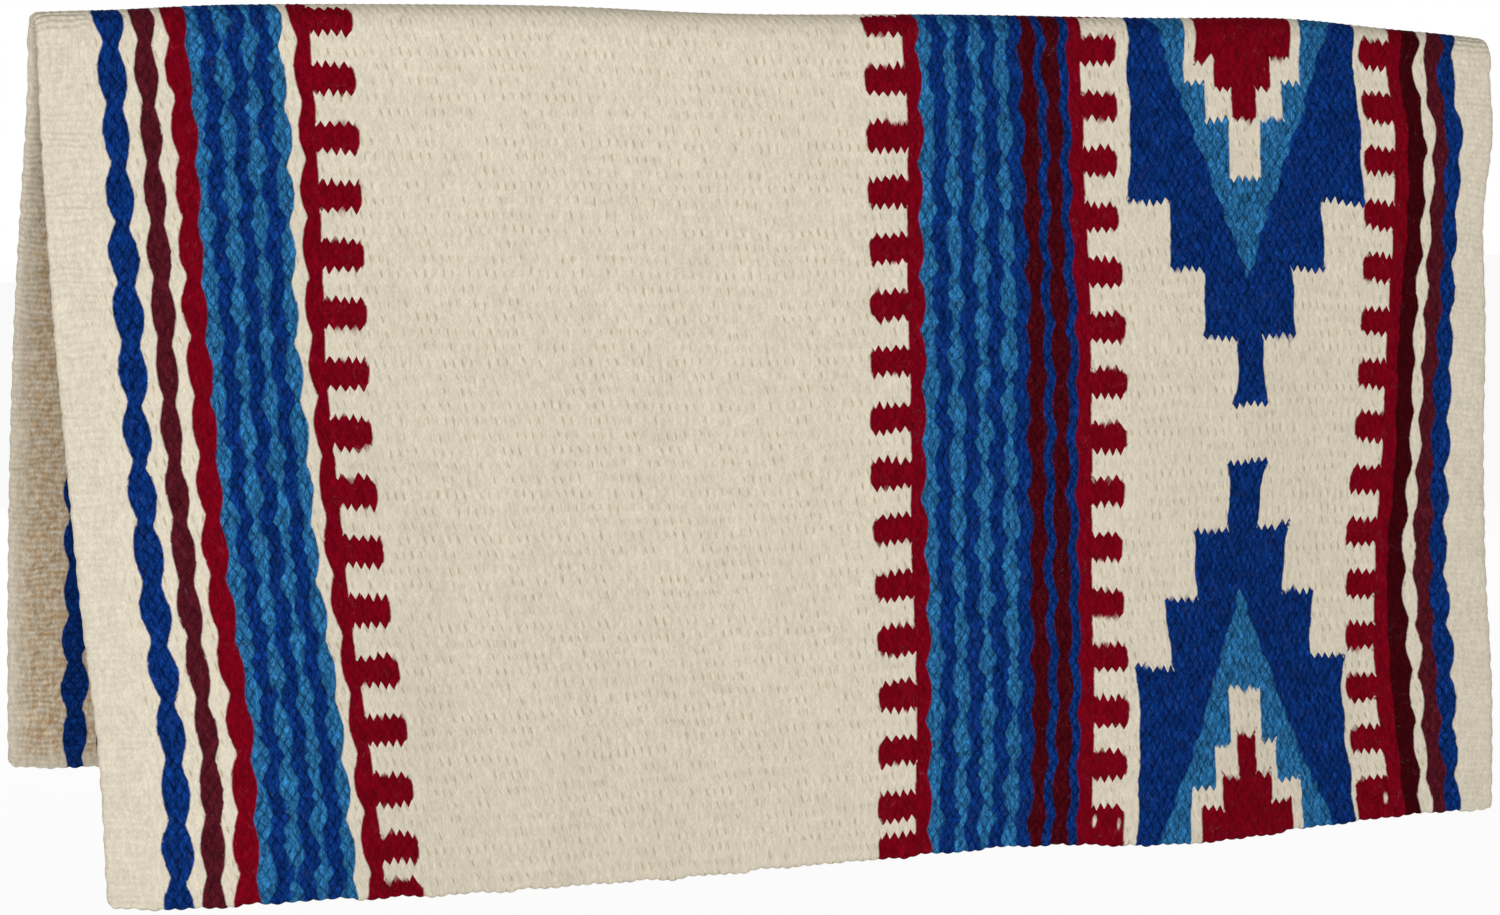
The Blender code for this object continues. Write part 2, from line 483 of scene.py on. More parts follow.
def wave_band(left: float, right: float, count: int, swing: float) -> list[tuple]:
    """Divides a band into light blue and royal stripes that swell in turn.

    Args:
        left: The band's left border.
        right: The band's right border.
        count: How many stripes, the first of them light blue.
        swing: How far each border swings.

    Returns:
        The parts to lay side by side.
    """
    step = (right - left) / count
    turns = (1, -1, -1, 1)
    parts = []
    for i in range(count):
        yarn, slim = ((Yarn.LIGHT_BLUE, -SLIMMER), (Yarn.ROYAL, SLIMMER))[i % 2]
        slim = 0.0 if i == count - 1 else slim
        parts.append((yarn, left + (i + 1) * step + slim, swing * turns[(i + 1) % 4]))
    return parts


STRIPES = (
    *side_by_side(
        LEFT_STRIPE_ROWS,
        31.9,
        -2.0,
        (Yarn.ROYAL, 44.1, 2.0),
        (Yarn.CREAM, 50.9, -1.4),
        (Yarn.BURGUNDY, 60.8, 1.4),
        (Yarn.CREAM, 67.3, -1.8),
        (Yarn.RED, LEFT_BAND[0], 1.4),
    ),
    *side_by_side(
        LEFT_WAVE_ROWS,
        LEFT_BAND[0] - LAP,
        0.0,
        *wave_band(*LEFT_BAND, count=7, swing=1.8),
        (Yarn.CREAM, 133.5, -1.8),
        (Yarn.RED, 142.7, 0.0),
    ),
    *side_by_side(
        MIDDLE_STRIPE_ROWS,
        485.5,
        0.0,
        (Yarn.RED, MIDDLE_BAND[0], 1.8),
        *wave_band(*MIDDLE_BAND, count=8, swing=1.8),
        (Yarn.MAROON, 567.4, -1.5),
        (Yarn.ROYAL, 572.8, -1.5),
        (Yarn.MAROON, 581.9, 1.5),
        (Yarn.ROYAL, 587.3, 1.4),
        (Yarn.RED, 596.2, 0.0),
    ),
    *side_by_side(
        RIGHT_STRIPE_ROWS,
        795.2,
        0.0,
        (Yarn.RED, 804.2, 0.5),
        (Yarn.DARK_MAROON, 815.5, -1.6),
        (Yarn.CREAM, 821.6, 1.6),
        (Yarn.BURGUNDY, 831.0, -1.5),
        (Yarn.ROYAL, 840.4, 1.8),
    ),
)
TOOTH_COLUMNS = (
    ToothColumn(166.2, 140.0, LEFT_TOOTH_ROWS, 474.4),
    ToothColumn(461.4, 488.0, MIDDLE_TOOTH_ROWS, 469.8),
    ToothColumn(617.4, 594.0, PANEL_LEFT_ROWS, 469.0),
    ToothColumn(775.5, 798.0, PANEL_RIGHT_ROWS, 465.0),
)


@dataclass(frozen=True)
class WeaveDraft:
    """The blanket's draft: which yarn shows where, in millimetres on the flat cloth.

    The cloth is a field of upright loops of weft in brick order, each a lozenge with
    its points up and down. A level border takes whole loops, so it comes out in points.
    """

    width_mm: float = 864.0
    row_pitch: float = 31.58
    loop_width: float = 4.9942
    loop_length: float = 7.895
    # How far the loops lie out of line, more so down the cloth, in waves of which lengths
    hand_wander: float = 0.4
    down_wander_share: float = 1.4
    wander_lengths: tuple = (16.0, 60.0)
    wander_seeds: tuple = (21, 22)
    # How much higher the loops lie at places across, as shares of their length
    slant_places: tuple = (0, 153, 475, 606, 640, 760, 787, 864)
    slant_shares: tuple = (-0.21, -0.21, -0.29, -0.15, 0.0, 0.0, -0.27, -0.27)
    # The teeth: their height, how round they are, and how far each tip strays
    tooth_half_height: float = 8.0
    tooth_round: float = 5.2
    tooth_own: float = 0.9
    tooth_turn: float = 7.3
    # The borders: how they lag behind the rows, how round their waists are, and how they
    # swing and drift by hand
    border_slant_share: float = 0.06
    waist_share: float = 0.01
    hand_share: float = 0.18
    hand_length: float = 17.3
    hand_drift: float = 0.45
    drift_length: float = 23.7
    drift_turn: float = 2.3
    # The diamonds: their middle, and how much their steps widen at the end
    panel_centre: float = 699.0
    step_flare: float = 3.6
    flare_length: float = 12.0
    # Half the sizes of a cream fleck
    fleck_width: float = 1.0
    fleck_length: float = 3.0
    # How far inside a yarn a point is that is nowhere near it
    nowhere: float = -50.0
    # How steep a border has to be to take whole loops: the gain, and what is taken off
    level_gain: float = 2.5
    level_loss: float = 1.2
    # How far aside the covers are read again, to find which way a border runs
    probe: float = 0.2

    def hand_laid(self, across: Array, down: Array) -> tuple[Array, Array]:
        """Places the points among the loops, as no yarn of a hand weave lies quite straight.

        Args:
            across: Distances from the left selvage, by point.
            down: Distances from the crest, by point.

        Returns:
            The distances across and down, counted in the loops' own order.
        """
        slant = self.loop_length * np.interp(across, self.slant_places, self.slant_shares)
        aside, below = (
            ripples(seed, self.wander_lengths, across, down) for seed in self.wander_seeds
        )
        along = across + self.hand_wander * aside
        return along, down + slant + self.down_wander_share * self.hand_wander * below

    def lift(self, across: Array, down: Array) -> Array:
        """Finds how high the points are on the loops, from 0 in a crease to 1.

        Args:
            across: Distances from the left selvage, by point.
            down: Distances from the crest, by point.

        Returns:
            The lift at each point.
        """
        along, below = self.hand_laid(across, down)
        level = np.cos(2 * math.pi * along / self.loop_width)
        upright = np.cos(2 * math.pi * below / self.loop_length)
        return np.abs(level + upright) / 2

    def border(self, border: Border, down: Array) -> Array:
        """Finds where a border runs, which swings with the rows and a little by hand.

        Args:
            border: The border.
            down: Distances from the crest, by point.

        Returns:
            The border's distance from the left selvage, by point.
        """
        lag = math.copysign(self.border_slant_share, border.swing)
        turn = math.pi * (down / self.row_pitch - border.row_share - lag)
        own = 1 + self.hand_share * np.sin(down / self.hand_length + border.place)
        phase = self.drift_turn * border.place
        drift = self.hand_drift * np.sin(down / self.drift_length + phase)
        # The mean of such a swell is about 2 / pi, so the border swings evenly both ways
        swell = np.sqrt(np.cos(turn) ** 2 + self.waist_share)
        return border.place + border.swing * own * (2 * swell - 4 / math.pi) + drift

    def stripe(self, stripe: Stripe, across: Array, down: Array) -> Array:
        """Finds how far inside one stripe the points are.

        Args:
            stripe: The stripe.
            across: Distances from the left selvage, by point.
            down: Distances from the crest, by point.

        Returns:
            The distance inside.
        """
        left, right = self.border(stripe.left, down), self.border(stripe.right, down)
        return np.minimum(across - left, right - across)

    def tooth(self, column: ToothColumn, across: Array, down: Array) -> Array:
        """Finds how far inside one column of teeth the points are.

        Args:
            column: The column of teeth.
            across: Distances from the left selvage, by point.
            down: Distances from the crest, by point.

        Returns:
            The distance inside.
        """
        row = down / self.row_pitch - column.row_share
        number = np.round(row)
        offset = np.abs(row - number) * self.row_pitch
        tall = np.maximum(self.tooth_half_height - offset, down - column.last_from)
        tip = column.tip + self.tooth_own * np.sin(self.tooth_turn * number + column.tip)
        beyond = np.abs(across - (tip + column.base) / 2) - np.abs(column.base - tip) / 2
        beyond, above = beyond + self.tooth_round, self.tooth_round - tall
        corner = np.hypot(np.clip(beyond, 0, None), np.clip(above, 0, None))
        return self.tooth_round - corner - np.minimum(np.maximum(beyond, above), 0)

    def steps(
        self, halves: tuple, rows: tuple, across: Array, rise: Array, flare: float = 0.0
    ) -> Array:
        """Finds how far inside a stepped diamond the points are.

        Args:
            halves: Half widths of its steps, widest first.
            rows: How far each step reaches from the diamond's middle, in rows.
            across: Distances from the left selvage.
            rise: Distances from the diamond's middle.
            flare: How much wider each step is at its end.

        Returns:
            The distance inside.
        """
        aside = np.abs(across - self.panel_centre)
        inside = []
        for half, reach in zip(halves, rows):
            left = reach * self.row_pitch - rise
            wide = half + flare * np.exp(-np.abs(left) / self.flare_length)
            inside.append(np.minimum(wide - aside, left))
        return np.maximum.reduce(inside)

    def diamond(self, diamond: Diamond, across: Array, down: Array, cover: dict) -> None:
        """Adds one stepped diamond to the dyed yarns' covers.

        Args:
            diamond: The diamond's sizes.
            across: Distances from the left selvage, by point.
            down: Distances from the crest, by point.
            cover: How far inside each dyed yarn the points are, which this adds to.
        """
        rise = np.abs(np.abs(down) - diamond.middle_rows * self.row_pitch)
        sway = self.hand_drift * np.sin(2 * math.pi * down / self.row_pitch)
        outer = self.steps(diamond.half, diamond.rows, across, rise, self.step_flare) + sway
        slope = 1 - rise / (diamond.chevron_rows * self.row_pitch)
        chevron = diamond.chevron_half * slope - np.abs(across - self.panel_centre)
        core = self.steps(diamond.core_half, diamond.core_rows, across, rise)
        heart = self.steps(diamond.heart_half, diamond.heart_rows, across, rise)
        blue = np.minimum(outer, -core)
        light = np.minimum(blue, chevron + LAP)
        cover[Yarn.ROYAL] = np.maximum(cover[Yarn.ROYAL], np.minimum(blue, -chevron))
        cover[Yarn.LIGHT_BLUE] = np.maximum(cover[Yarn.LIGHT_BLUE], light)
        cover[Yarn.RED] = np.maximum(cover[Yarn.RED], heart)

    def covers(self, across: Array, down: Array) -> dict[Yarn, Array]:
        """How far inside each dyed yarn's share of the cloth the points are.

        Args:
            across: Distances from the left selvage, by point.
            down: Distances from the crest, by point: above nought on the near half.

        Returns:
            The distance inside, for each dyed yarn.
        """
        far = np.full(across.shape, self.nowhere)
        cover = {yarn: far.copy() for yarn in DYED_YARNS}
        for stripe in STRIPES:
            inside = self.stripe(stripe, across, down)
            cover[stripe.yarn] = np.maximum(cover[stripe.yarn], inside)
        for column in TOOTH_COLUMNS:
            inside = self.tooth(column, across, down)
            cover[Yarn.RED] = np.maximum(cover[Yarn.RED], inside)
        for diamond in (CREST_DIAMOND, HEM_DIAMOND):
            self.diamond(diamond, across, down, cover)
        for place, low in CREAM_FLECKS:
            aside = (across - place) / self.fleck_width
            reach = np.hypot(aside, (down - low) / self.fleck_length)
            cover[Yarn.RED] = np.minimum(cover[Yarn.RED], self.fleck_width * (reach - 1))
        return cover

    def borders(self, across: Array, down: Array) -> dict[Yarn, Array]:
        """Finds each dyed yarn's cover, and where its border takes whole loops.

        It takes whole loops where it runs level, and where royal meets light blue. The
        borders of the other stripes run smoothly.

        Args:
            across: Distances from the left selvage, by point.
            down: Distances from the crest, by point.

        Returns:
            For each dyed yarn and point, the distance inside, and how much that grows
            across and down. The last two are nought by a smooth border.
        """
        step = self.probe
        here = self.covers(across, down)
        aside, below = self.covers(across + step, down), self.covers(across, down + step)
        by_blue = np.clip(1 + here[Yarn.LIGHT_BLUE], 0, 1)
        found = {}
        for yarn, inside in here.items():
            grows_across = np.clip((aside[yarn] - inside) / step, -1, 1)
            grows_down = np.clip((below[yarn] - inside) / step, -1, 1)
            loops = np.clip(self.level_gain * np.abs(grows_down) - self.level_loss, 0, 1)
            loops = np.maximum(loops, by_blue) if yarn is Yarn.ROYAL else loops
            parts = [inside, loops * grows_across, loops * grows_down]
            found[yarn] = np.stack(parts, axis=-1)
        return found


@dataclass(frozen=True)
class HandWovenWool:
    """Hand-spun wool, dyed in the yarn and beaten into a weft-faced weave.

    It gives the eye plump matt loops with painted shade in the creases between them,
    each loop a little lighter or darker than the next and streaked by its own fibres.
    The cream has painted shade in small hollows, its selvages are ribbed, and the
    inner faces, which face each other inside the fold, are ribbed and carry a painted
    tan shade. Each range gives two ends of what drives a shade, and the shades there.
    """

    name: str = "hand_woven_wool"
    draft: WeaveDraft = WeaveDraft()
    # Sizes of blotches across and down the cloth. A fibre of wool is too fine to show, so
    # fibres and hairs are drawn as coarse as they need to show
    wobble_size_mm: tuple = (6.2, 10.0)
    fibre_size_mm: tuple = (0.8, 2.5)
    strand_size_mm: tuple = (2.3, 8.3)
    crease_size_mm: tuple = (3.3, 6.2)
    patch_size_mm: tuple = (10.0, 20.0)
    hair_size_mm: tuple = (4.4, 7.0)
    hair_patch_mm: tuple = (11.0, 11.0)
    # How far the loops are moved about by hand, and how their fibres lean
    wobble_mm: tuple = (1.5, 3.0)
    wobble_layers: tuple = (0.5, 7.5)
    twist_lean: tuple = (-0.3, 0.8)
    # How pale and how dark the yarn gets: patches, loops, strands and fibres differ in their
    # own tone, the creases and the ribs carry painted shade, and the contrasts deepen both
    patch_range: tuple = (0.3, 0.7, 0.965, 1.035)
    loop_range: tuple = (0.0, 1.0, 0.95, 1.05)
    strand_range: tuple = (0.35, 0.65, 0.90, 1.10)
    fibre_range: tuple = (0.36, 0.64, 0.84, 1.16)
    crease_shade_range: tuple = (0.35, 0.65, 0.05, 0.32)
    crease_lift: float = 0.5
    cream_crease_share: float = 0.2
    cream_contrast: float = 0.45
    dyed_contrast: float = 2.1
    inner_shade_contrast_share: float = 0.2
    top_shade: float = 1.02
    rib_shade: float = 0.05
    # How the edge of a colour frays, by a smooth border and by whole loops
    fringe_mm: float = 0.6
    smooth_mix_mm: float = 0.7
    loop_mix_mm: float = 0.9
    loop_shares: tuple = (0.45, 0.8)
    # Painted shade in the small hollows between the cream's loops
    tick_lean: float = 0.21
    tick_size_mm: tuple = (0.85, 3.0)
    tick_range: tuple = (0.1, 1.0, 0.0, 0.75)
    hollow_shade_colour: str = "#B7A983"
    # Painted tan shade on the inner faces, where they face each other inside the fold, and their
    # ribs
    inner_shade_range: tuple = (0.36, 0.64, 0.25, 0.85)
    inner_shade_rib_share: float = 0.16
    inner_shade_colour: str = "#C3A47C"
    # Stray pale hairs, and specks of chaff
    hair_range: tuple = (0.0, 0.008, 0.10, 0.0)
    hair_patch_range: tuple = (0.5, 0.62, 0.0, 1.0)
    hair_colour: str = "#A59AA6"
    speck_pitch_mm: float = 42.0
    speck_range: tuple = (0.006, 0.014, 0.7, 0.0)
    speck_colour: str = "#5A3A22"
    # How many ribs there are to a loop's length, and where on a selvage they are full and end
    ribs_per_loop: float = 2.0
    selvage_mm: tuple = (16.0, 34.0)
    relief_mm: float = 0.7
    relief_strength: float = 0.8
    relief_range: tuple = (0.0, 1.0, 0.22, 0.9)
    fibre_relief_share: float = 0.6
    rib_relief_share: float = 0.4
    crown_middle: float = 0.6
    roughness: float = 0.95
    specular: float = 0.03

    def build(self) -> bpy.types.Material:
        """Makes the material, which reads the cloth's weave and cover attributes."""
        material = bpy.data.materials.new(self.name)
        material.use_nodes = True
        tree = material.node_tree
        tree.nodes.clear()
        weave = add_node(tree, "Attribute", out="Vector", attribute_name="weave")
        *place, inner_face = add_node(tree, "SeparateXYZ", weave).node.outputs
        across, down = self.wobbled(tree, place)
        flat = add_node(tree, "CombineXYZ", across, down)
        lift, own, middle = self.loops(tree, across, down)
        fibres = self.fibres(tree, across, down, own)
        selvage, rib = self.level_ribs(tree, across, down, inner_face)
        colour, dyed, shade_and_relief = self.yarn_colour(tree, own, middle, fibres)
        # Painted shade, in the cream's hollows and on the inner faces inside the fold
        painted_shades = (
            (self.hollows(tree, across, down, selvage), self.hollow_shade_colour),
            (self.inner_shade(tree, flat, inner_face, rib), self.inner_shade_colour),
        )
        colour = self.painted_cream_shade(tree, colour, dyed, painted_shades)
        # The inner face takes deeper painted shade in its creases
        inner_shade_strength = add_node(tree, "Math", inner_face, self.inner_shade_contrast_share, operation="MULTIPLY")
        shade_and_relief = add_node(tree, "Math", shade_and_relief, inner_shade_strength, operation="MAXIMUM")
        colour = self.shade_loops(tree, colour, shade_and_relief, flat, (lift, own, fibres, rib))
        colour = self.loose_bits(tree, colour, dyed, flat)
        inputs = {
            "Base Color": colour,
            "Roughness": self.roughness,
            "Specular IOR Level": self.specular,
            "Normal": self.relief(tree, lift, fibres, shade_and_relief, rib),
        }
        shader = add_node(tree, "BsdfPrincipled", inputs)
        add_node(tree, "OutputMaterial", {"Surface": shader})
        return material

    def blotches(self, tree: Tree, place: Socket, size_mm: tuple, detail: float = 1.0) -> Socket:
        """Lays noise over the cloth, drawn out along the yarn.

        Args:
            tree: The material's node tree.
            place: Where the point is on the flat cloth, in millimetres.
            size_mm: How large the blotches are, across and down.
            detail: How many finer layers the noise has.

        Returns:
            The noise, mostly from 0.3 to 0.7.
        """
        scale = (1 / size_mm[0], 1 / size_mm[1], 1.0)
        fitted = add_node(tree, "Mapping", {"Vector": place, "Scale": scale})
        inputs = {"Vector": fitted, "Scale": 1.0, "Detail": detail}
        return add_node(tree, "TexNoise", inputs, out="Fac")

    def wobbled(self, tree: Tree, place: Sequence[Socket]) -> list[Socket]:
        """Moves the points about a little, so that no two loops are quite alike.

        Args:
            tree: The material's node tree.
            place: The distances across and down, in millimetres.

        Returns:
            The moved distances across and down.
        """
        flat = add_node(tree, "CombineXYZ", *place)
        moved = []
        for value, reach, layer in zip(place, self.wobble_mm, self.wobble_layers):
            shifted = add_node(tree, "Mapping", {"Vector": flat, "Location": (0, 0, layer)})
            wave = self.blotches(tree, shifted, self.wobble_size_mm)
            wave = add_node(tree, "Math", wave, NOISE_MIDDLE, operation="SUBTRACT")
            moved.append(add_node(tree, "Math", wave, reach, value, operation="MULTIPLY_ADD"))
        return moved

    def cell(self, tree: Tree, counts: Sequence[Socket]) -> Socket:
        """Gives each cell between whole numbers a number from 0 to 1 of its own.

        Args:
            tree: The material's node tree.
            counts: What counts the cells one way and the other.

        Returns:
            The cell's own number.
        """
        whole = [add_node(tree, "Math", count, operation="ROUND") for count in counts]
        inputs = {"Vector": add_node(tree, "CombineXYZ", *whole)}
        return add_node(tree, "TexWhiteNoise", inputs, out="Value", noise_dimensions="2D")

    def loops(self, tree: Tree, across: Socket, down: Socket) -> tuple[Socket, Socket, list]:
        """Lays the loops as lozenges in brick order.

        Args:
            tree: The material's node tree.
            across: The distance across among the loops, in millimetres.
            down: The distance down among the loops, in millimetres.

        Returns:
            The lift, from 0 in the crease between two loops to 1 on a loop, a number from
            0 to 1 that each loop has to itself, and how far its middle is across and down.
        """
        width, length = self.draft.loop_width, self.draft.loop_length
        level = add_node(tree, "Math", across, width, operation="DIVIDE")
        upright = add_node(tree, "Math", down, length, operation="DIVIDE")
        sides = ("ADD", "SUBTRACT")
        counts = [add_node(tree, "Math", level, upright, operation=side) for side in sides]
        offsets, humps = [], []
        for count in counts:
            whole = add_node(tree, "Math", count, operation="ROUND")
            offsets.append(add_node(tree, "Math", whole, count, operation="SUBTRACT"))
            angle = add_node(tree, "Math", offsets[-1], math.pi, operation="MULTIPLY")
            humps.append(add_node(tree, "Math", angle, operation="COSINE"))
        middle = []
        for side, size in zip(sides, (width, length)):
            total = add_node(tree, "Math", *offsets, operation=side)
            middle.append(add_node(tree, "Math", total, size / 2, operation="MULTIPLY"))
        lift = add_node(tree, "Math", *humps, operation="MULTIPLY")
        return lift, self.cell(tree, counts), middle

    def fibres(self, tree: Tree, across: Socket, down: Socket, own: Socket) -> Socket:
        """Draws the fibres, which lean another way in each loop as the yarn is twisted.

        Args:
            tree: The material's node tree.
            across: The distance across among the loops, in millimetres.
            down: The distance down among the loops, in millimetres.
            own: The number that each loop has to itself.

        Returns:
            The noise that draws the fibres.
        """
        least, most = self.twist_lean
        lean = add_node(tree, "Math", own, most - least, least, operation="MULTIPLY_ADD")
        leaned = add_node(tree, "Math", down, lean, across, operation="MULTIPLY_ADD")
        place = add_node(tree, "CombineXYZ", leaned, down)
        return self.blotches(tree, place, self.fibre_size_mm, detail=2.0)

    def level_ribs(
        self, tree: Tree, across: Socket, down: Socket, inner_face: Socket
    ) -> tuple[Socket, Socket]:
        """Lays level ribs on the two selvages, where the weft turns back, and on the inner face.

        Args:
            tree: The material's node tree.
            across: The distance across among the loops, in millimetres.
            down: The distance down among the loops, in millimetres.
            inner_face: How far into the inner face the point is.

        Returns:
            How far the point belongs to a selvage, and the height of the ribs.
        """
        middle = self.draft.width_mm / 2
        aside = add_node(tree, "Math", across, middle, operation="SUBTRACT")
        aside = add_node(tree, "Math", aside, operation="ABSOLUTE")
        full, end = (middle - reach for reach in self.selvage_mm)
        selvage = add_node(tree, "MapRange", aside, end, full, 0.0, 1.0, **EASED)
        turn = 2 * math.pi * self.ribs_per_loop / self.draft.loop_length
        angle = add_node(tree, "Math", down, turn, operation="MULTIPLY")
        wave = add_node(tree, "Math", angle, operation="COSINE")
        ribbed = add_node(tree, "Math", selvage, inner_face, operation="MAXIMUM")
        return selvage, add_node(tree, "Math", wave, ribbed, operation="MULTIPLY")

    def yarn_colour(
        self, tree: Tree, own: Socket, middle: list, fibres: Socket
    ) -> tuple[Socket, ...]:
        """Lays each dyed yarn over the cream, by whole loops where its border says so.

        Args:
            tree: The material's node tree.
            own: The number that each loop has to itself.
            middle: How far the loop's middle is, across and down.
            fibres: The noise that draws the fibres.

        Returns:
            The colour of the yarn at each point, how much of it is dyed, and how deep its painted
            crease shade and its bump are.
        """
        colour, dyed, shade_and_relief = linear_colour(Yarn.CREAM.value), 0.0, 0.0
        pick = add_node(tree, "Math", own, fibres, operation="ADD")
        pick = add_node(tree, "Math", pick, 2 * NOISE_MIDDLE, operation="SUBTRACT")
        mixes = (self.loop_mix_mm, self.smooth_mix_mm)
        fray = (-self.fringe_mm, self.fringe_mm, 0.0, 1.0)
        for yarn in DYED_YARNS:
            cover = add_node(tree, "Attribute", out="Vector", attribute_name=yarn.cover)
            inside, *grows = add_node(tree, "SeparateXYZ", cover).node.outputs
            looped = 0.0
            for grow, reach, part in zip(grows, middle, self.loop_shares):
                reach = add_node(tree, "Math", grow, reach, operation="MULTIPLY")
                inside = add_node(tree, "Math", reach, part, inside, operation="MULTIPLY_ADD")
                size = add_node(tree, "Math", grow, operation="ABSOLUTE")
                looped = add_node(tree, "Math", looped, size, operation="MAXIMUM")
            mix = add_node(tree, "Math", looped, *mixes, operation="MULTIPLY_ADD")
            inside = add_node(tree, "Math", pick, mix, inside, operation="MULTIPLY_ADD")
            share = add_node(tree, "MapRange", inside, *fray, **EASED)
            inputs = {MIX_SHARE: share, MIX_UNDER: colour, MIX_OVER: linear_colour(yarn.value)}
            colour = add_node(tree, "Mix", inputs, out=MIX_RESULT, data_type="RGBA")
            dyed = add_node(tree, "Math", dyed, share, operation="MAXIMUM")
            rest = add_node(tree, "Math", LOOP_SHADE_AND_RELIEF[yarn], shade_and_relief, operation="SUBTRACT")
            shade_and_relief = add_node(tree, "Math", rest, share, shade_and_relief, operation="MULTIPLY_ADD")
        return colour, dyed, shade_and_relief

    def hollows(self, tree: Tree, across: Socket, down: Socket, selvage: Socket) -> Socket:
        """Finds the small hollows between the cream's loops, which the selvages lack.

        Args:
            tree: The material's node tree.
            across: The distance across among the loops, in millimetres.
            down: The distance down among the loops, in millimetres.
            selvage: How far the point belongs to a selvage.

        Returns:
            How deep the painted shade in the hollow is.
        """
        across = add_node(tree, "Math", down, -self.tick_lean, across, operation="MULTIPLY_ADD")
        pitches = (self.draft.loop_width, self.draft.loop_length)
        counts, squares = [], []
        for value, pitch, size in zip((across, down), pitches, self.tick_size_mm):
            counts.append(add_node(tree, "Math", value, pitch, operation="DIVIDE"))
            whole = add_node(tree, "Math", counts[-1], operation="ROUND")
            reach = add_node(tree, "Math", counts[-1], whole, operation="SUBTRACT")
            reach = add_node(tree, "Math", reach, pitch / size, operation="MULTIPLY")
            squares.append(add_node(tree, "Math", reach, reach, operation="MULTIPLY"))
        # Each hollow takes painted shade of its own depth
        deepest = add_node(tree, "MapRange", self.cell(tree, counts), *self.tick_range, **EASED)
        total = add_node(tree, "Math", *squares, operation="ADD")
        depth = add_node(tree, "MapRange", total, 0.0, 1.0, deepest, 0.0, **EASED)
        inner = add_node(tree, "Math", 1.0, selvage, operation="SUBTRACT")
        return add_node(tree, "Math", depth, inner, operation="MULTIPLY")

    def inner_shade(self, tree: Tree, place: Socket, inner_face: Socket, rib: Socket) -> Socket:
        """Finds how much painted tan shade the inner face takes, least on the crowns of the ribs.

        Args:
            tree: The material's node tree.
            place: Where the point is on the flat cloth, in millimetres.
            inner_face: How far into the inner face the point is, where the tan shade is painted.
            rib: The height of the ribs.

        Returns:
            How much of the yarn takes the painted tan shade.
        """
        share = self.blotches(tree, place, self.crease_size_mm, detail=2.0)
        share = add_node(tree, "MapRange", share, *self.inner_shade_range, **EASED)
        inputs = (rib, -self.inner_shade_rib_share, share)
        share = add_node(tree, "Math", *inputs, operation="MULTIPLY_ADD", use_clamp=True)
        return add_node(tree, "Math", inner_face, share, operation="MULTIPLY")

    def painted_cream_shade(self, tree: Tree, colour: Socket, dyed: Socket, painted_shades: tuple) -> Socket:
        """Paints shade into the cream.

        Args:
            tree: The material's node tree.
            colour: The colour of the yarn.
            dyed: How much of the yarn is dyed.
            painted_shades: For each painted shade, how much of the yarn it takes, and its colour.

        Returns:
            The colour with its painted shade.
        """
        cream = add_node(tree, "Math", 1.0, dyed, operation="SUBTRACT")
        for share, tan in painted_shades:
            share = add_node(tree, "Math", share, cream, operation="MULTIPLY")
            inputs = {MIX_SHARE: share, MIX_UNDER: colour, MIX_OVER: linear_colour(tan)}
            colour = add_node(tree, "Mix", inputs, out=MIX_RESULT, data_type="RGBA")
        return colour

    def shade_loops(
        self, tree: Tree, colour: Socket, shade_and_relief: Socket, place: Socket, loop: tuple
    ) -> Socket:
        """Varies the yarn's colour by loop, by fibre and in the creases.

        Shade is painted into the creases, deeper on dyed yarn, as less light comes out of its
        creases, and dyed yarn varies more.

        Args:
            tree: The material's node tree.
            colour: The yarn's plain colour.
            shade_and_relief: How deep the painted crease shade is and how much the yarn varies,
                from 0 for
            clean cream to 1 for dyed yarn.
            place: Where the point is on the flat cloth, in millimetres.
            loop: The loops' lift, each loop's own number, the fibres and the ribs.

        Returns:
            The colour with its painted shade, as the eye sees it on the yarn.
        """
        lift, own, fibres, rib = loop
        # Painted shade in the creases between the loops, deepest on dyed yarn
        depth = self.blotches(tree, place, self.crease_size_mm)
        depth = add_node(tree, "MapRange", depth, *self.crease_shade_range, **EASED)
        inputs = (shade_and_relief, 0.0, 1.0, self.cream_crease_share, 1.0)
        share = add_node(tree, "MapRange", *inputs, **EASED)
        depth = add_node(tree, "Math", depth, share, operation="MULTIPLY")
        crease = add_node(tree, "MapRange", lift, 0.0, self.crease_lift, depth, 0.0, **EASED)
        # The ribs are painted lighter on their crowns and darker between them
        inputs = (rib, self.rib_shade, self.top_shade)
        value = add_node(tree, "Math", *inputs, operation="MULTIPLY_ADD")
        value = add_node(tree, "Math", value, crease, operation="SUBTRACT")
        for part, limits in (
            (self.blotches(tree, place, self.patch_size_mm, detail=2.0), self.patch_range),
            (own, self.loop_range),
            (self.blotches(tree, place, self.strand_size_mm), self.strand_range),
            (fibres, self.fibre_range),
        ):
            part = add_node(tree, "MapRange", part, *limits, **EASED)
            value = add_node(tree, "Math", value, part, operation="MULTIPLY")
        # The power deepens the painted shade and the loops' own tones, most on dyed yarn
        inputs = (shade_and_relief, self.dyed_contrast, self.cream_contrast)
        contrast = add_node(tree, "Math", *inputs, operation="MULTIPLY_ADD")
        value = add_node(tree, "Math", value, contrast, operation="POWER")
        return add_node(tree, "VectorMath", {0: colour, "Scale": value}, operation="SCALE")

